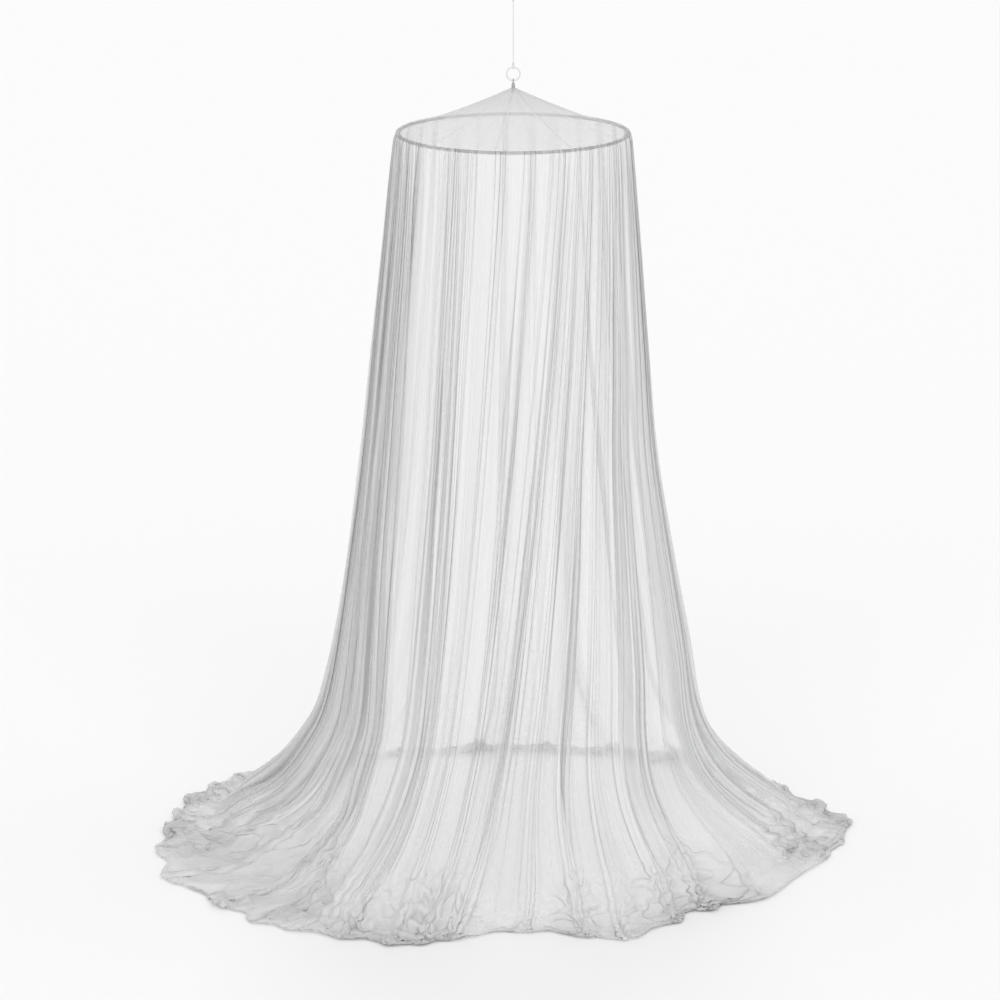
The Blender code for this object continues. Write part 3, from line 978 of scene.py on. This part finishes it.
def makeWall(material):
    fold, pleat, pleats = columnFolds()
    fold, pleat, row = fold[None, :], pleat[None, :], rowPlaces()[:, None]
    turns = fold / len(folds)
    smooth = wallSurface(fold, row, 0.0)
    main = wallSurface(fold, row, 1.0)
    steps = np.linalg.norm(np.diff(smooth, axis=0), axis=2).mean(1)
    along = np.concatenate([[0], np.cumsum(steps)])[:, None]
    aside, outward = pleatShift(main, fold, along, turns, pleat, pleats)
    points = main + aside + outward + heapShift(smooth, turns, fold)
    points[..., 2] = np.maximum(points[..., 2], floorZ + wall["floorGap"])
    points = settlePool(points, main)
    points[..., 2] = np.maximum(points[..., 2], floorZ + wall["settledGap"])
    sleeve = sleeveRows(points[0])
    points = np.concatenate([sleeve, points])
    smooth = np.concatenate([sleeve, smooth])

    # what the material reads: how much net lies over each point, and where it is pleated or bunched;
    # the first and the last also darken the net's colour as painted shade
    height = points[..., 2] - floorZ
    bunched = bunching(points) * smoothStep(*wall["bunchHeights"], height)
    upward = np.maximum(height - wall["lowerPart"], 0.0)
    density = clothDensity(points, smooth) * (1 + bunched) * (1 + wall["upperFullness"] * upward)
    density[-wall["hemRows"] :] *= wall["hemDensity"]
    pleated = smoothStep(*pleatStyle["bundleSwing"], acrossFolds("swing", fold))
    pleated = np.broadcast_to(pleated * nearCrest(fold) ** 0.5, height.shape)
    values = {"gather": density, "bundle": pleated, "lying": np.clip(bunched, 0, 1)}

    drop = np.concatenate([[0], np.cumsum(np.linalg.norm(np.diff(points, axis=0), axis=2).mean(1))])
    across = np.arange(wall["columns"]) * wall["flatWidth"] / wall["columns"]
    flatPlace = (np.broadcast_to(across, height.shape), np.broadcast_to(drop[:, None], height.shape))
    piece = addPiece("net_wall", gridMesh("net_wall", points, flatPlace, values), material)
    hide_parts("wall_net")
    area = meshArea(points)
    print("wall made, rows", len(points), "length", round(float(drop[-1]), 3), "area", round(area, 2))
    flat = (wall["flatWidth"], wall["flatLength"])
    leastArea = wall["leastAreaShare"] * flat[0] * flat[1]
    area = max(area * wall["areaMargin"], leastArea)


roof = dict(
    ribs=(-150, -115, -80, -44, -9, 30, 66, 103, 139, 174),
    perGore=24,
    rings=40,
    neck=0.00565,
    footRise=0.0021,  # above the wall's sleeve
    flatSide=0.62,
    ringCrowding=1.35,
    apexHeight=2.000,
    curve=1.3,
    sag=0.007,
    ridge=0.0012,
    seam=0.0030,
    seamDensity=9.0,
    density=1.35,
    gathers=1.0,  # how fast the net thickens towards the tip
    mostDensity=4.5,
)


def makeRoof(material):
    spec = roof
    footZ = hoopZ + wall["sleeveRadius"] + spec["footRise"]
    ribs = list(spec["ribs"]) + [spec["ribs"][0] + 360]
    step = np.linspace(0, 1, spec["rings"]) ** spec["ringCrowding"]
    azimuths, sags, ribness = [], [], []
    for rib, following in zip(ribs, ribs[1:]):
        for k in range(spec["perGore"]):
            across = 0.5 - 0.5 * math.cos(math.pi * k / spec["perGore"])  # columns crowd at the ribs
            azimuths.append(mix(rib, following, across))
            sags.append(math.sin(math.pi * across))
            ribness.append(min(across, 1 - across) * (following - rib))
    azimuth = np.radians(np.array(azimuths))[None, :]
    sag = np.array(sags)[None, :]
    away = mix(spec["neck"], hoopSpec["radius"], step)[:, None]
    height = mix(footZ, floorZ + spec["apexHeight"], (1 - step) ** spec["curve"])[:, None]
    offRib = np.radians(np.array(ribness))[None, :] * away
    onRib = np.exp(-((offRib / spec["seam"]) ** 2))
    z = height - spec["sag"] * sag * np.sin(math.pi * step)[:, None]
    z = z + spec["ridge"] * onRib * np.sin(math.pi * step)[:, None]
    points = np.stack([away * np.sin(azimuth), -away * np.cos(azimuth), z], -1)
    thicker = 1 + spec["gathers"] * (hoopSpec["radius"] / away - 1)
    density = spec["density"] * np.minimum(thicker, spec["mostDensity"]) + spec["seamDensity"] * onRib
    around = np.linspace(0, 2 * math.pi, points.shape[1], endpoint=False) * hoopSpec["radius"]
    flatPlace = (np.broadcast_to(around, density.shape), np.broadcast_to(away, density.shape))
    mesh = gridMesh("net_roof", points, flatPlace, {"gather": density})
    piece = addPiece("net_roof", mesh, material)
    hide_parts("roof_net")
    area = meshArea(points)
    print("roof made, area", round(area, 3))


crown = dict(
    profile=(
        # height below the ring's lower wire, radius
        (0.0042, 0.0002),
        (0.0046, 0.0017),
        (0.0085, 0.0036),
        (0.0140, 0.0046),
        (0.0220, 0.0046),
        (0.0265, 0.0056),
        (0.0300, 0.0042),
        (0.0320, 0.0002),
    ),
    rows=40,
    pleats=14,
    perPleat=8,
    pleatDepth=0.16,
    pleatTwist=90,  # radians a metre
    loopPoints=48,
    loopWire=0.003,
)


def makeCrown(material):
    spec = crown
    lowerWire = ringZ - ringSpec["radius"]
    drops = [row[0] for row in spec["profile"]]
    drop = np.linspace(drops[0], drops[-1], spec["rows"])
    radius = smoothTable(drop, drops, [row[1] for row in spec["profile"]])
    angle = np.linspace(0, 2 * math.pi, spec["perPleat"] * spec["pleats"], endpoint=False)
    turned = spec["pleats"] * angle[None, :] + spec["pleatTwist"] * drop[:, None]
    away = radius[:, None] * (1 - spec["pleatDepth"] * (0.5 + 0.5 * np.cos(turned)))
    height = (lowerWire - drop)[:, None] + 0 * away
    tuft = np.stack([away * np.sin(angle), -away * np.cos(angle), height], -1)
    loopRadius = ringSpec["wire"] / 2 + cordSpec["hitchGap"] + cordSpec["diameter"] / 2
    loopPath = wireLoop(loopRadius, lowerWire, spec["loopPoints"])
    loop = sidewaysTube(loopPath)
    middle = loopPath[:, None, :]
    wide = middle + (loop - middle) * spec["loopWire"] / cordSpec["diameter"]
    meshes = [cappedMesh("tuft", tuft), cappedMesh("crownLoop", wide, closed=True)]
    piece = addPiece("net_crown", joinedMesh("net_crown", meshes), material)
    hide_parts("crown_gather")
    print("crown made")


studio = dict(
    floorSide=120.0,
    floorGap=0.0005,
    floorColour=(0.9, 0.9, 0.9),
    skyStrength=0.84,
    transparentBounces=96,
)
lights = (
    # name, strength, size of its disc in degrees, tilt from straight down (positive from the front)
    ("frontFill", 1.2, 60.0, 70.0),
    ("backLight", 0.8, 30.0, -66.0),
)


def makeStudio():
    half = studio["floorSide"] / 2
    mesh = bpy.data.meshes.new("floor")
    corners = [(-half, -half, 0), (half, -half, 0), (half, half, 0), (-half, half, 0)]
    mesh.from_pydata(corners, [], [(0, 1, 2, 3)])
    floor = bpy.data.objects.new("floor", mesh)
    floor.location = (0, 0, floorZ - studio["floorGap"])
    material, shader, _ = newMaterial("paleFloor", studio["floorColour"], 1.0)
    shader.inputs["Specular IOR Level"].default_value = 0.0
    mesh.materials.append(material)
    bpy.context.scene.collection.objects.link(floor)
    world = bpy.data.worlds.new("softRoom")
    world.use_nodes = True
    sky = world.node_tree.nodes["Background"]
    sky.inputs["Color"].default_value = (1, 1, 1, 1)
    sky.inputs["Strength"].default_value = studio["skyStrength"]
    bpy.context.scene.world = world
    for name, strength, disc, tilt in lights:
        light = bpy.data.lights.new(name, "SUN")
        light.energy = strength
        light.angle = math.radians(disc)
        lamp = bpy.data.objects.new(name, light)
        lamp.rotation_euler = (math.radians(tilt), 0, 0)
        bpy.context.scene.collection.objects.link(lamp)
    scene = bpy.context.scene
    scene.view_settings.view_transform = "Standard"
    scene.cycles.transparent_max_bounces = studio["transparentBounces"]
    print("studio made")


addCamera()
makeCord(makeMottled("cord"))
makeRing(makeMottled("ring"))
makeHoop(makeMottled("hoop"))
makeWall(makeNetMaterial("sheerNet", netFinish["colour"]))
makeRoof(makeNetMaterial("roofNet", netFinish["shadedRoofColour"]))
makeCrown(makeMottled("crown"))
makeStudio()
